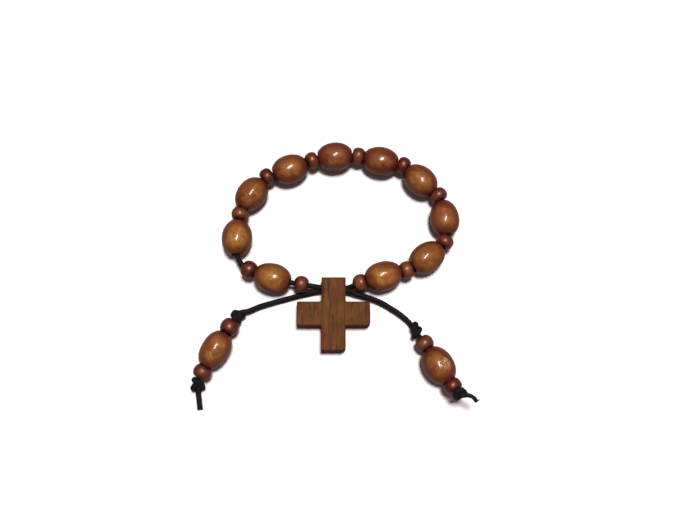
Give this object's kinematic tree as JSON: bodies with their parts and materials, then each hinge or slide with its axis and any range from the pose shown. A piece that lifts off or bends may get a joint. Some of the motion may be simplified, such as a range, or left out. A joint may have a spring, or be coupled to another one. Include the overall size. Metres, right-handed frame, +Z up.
{
  "type": "rosary bracelet",
  "caption": "Rosary bracelet of oval and round wooden beads on a knotted cord that runs twice through a flat wooden cross, with two beaded tails.",
  "frame": {"origin": "on the table, under the middle of the laid-out bracelet's bounding box", "axes": "+Z up from the table, +X to the right and +Y away from the viewer, from the tails and the cross towards the top of the loop"},
  "size_m": [0.0947, 0.0962, 0.0125],
  "materials": {
    "oval_wood": "glossy varnish, mottled",
    "round_wood": "glossy stain",
    "cross_wood": "matte, streaked grain",
    "cord": "waxed twisted cotton"
  },
  "bodies": {
    "root": {"cord": "cord", "cross": "cross_wood", "left_tail_oval_bead": "oval_wood", "left_tail_inner_round_bead": "round_wood", "left_tail_outer_round_bead": "round_wood", "right_tail_oval_bead": "oval_wood", "right_tail_inner_round_bead": "round_wood", "right_tail_outer_round_bead": "round_wood", "loop_oval_bead_1": "oval_wood", "loop_oval_bead_2": "oval_wood", "loop_oval_bead_3": "oval_wood", "loop_oval_bead_4": "oval_wood", "loop_oval_bead_5": "oval_wood", "loop_oval_bead_6": "oval_wood", "loop_oval_bead_7": "oval_wood", "loop_oval_bead_8": "oval_wood", "loop_oval_bead_9": "oval_wood", "loop_oval_bead_10": "oval_wood", "loop_round_bead_1": "round_wood", "loop_round_bead_2": "round_wood", "loop_round_bead_3": "round_wood", "loop_round_bead_4": "round_wood", "loop_round_bead_5": "round_wood", "loop_round_bead_6": "round_wood", "loop_round_bead_7": "round_wood", "loop_round_bead_8": "round_wood", "loop_round_bead_9": "round_wood", "loop_round_bead_10": "round_wood", "loop_round_bead_11": "round_wood"}
  },
  "joints": []
}
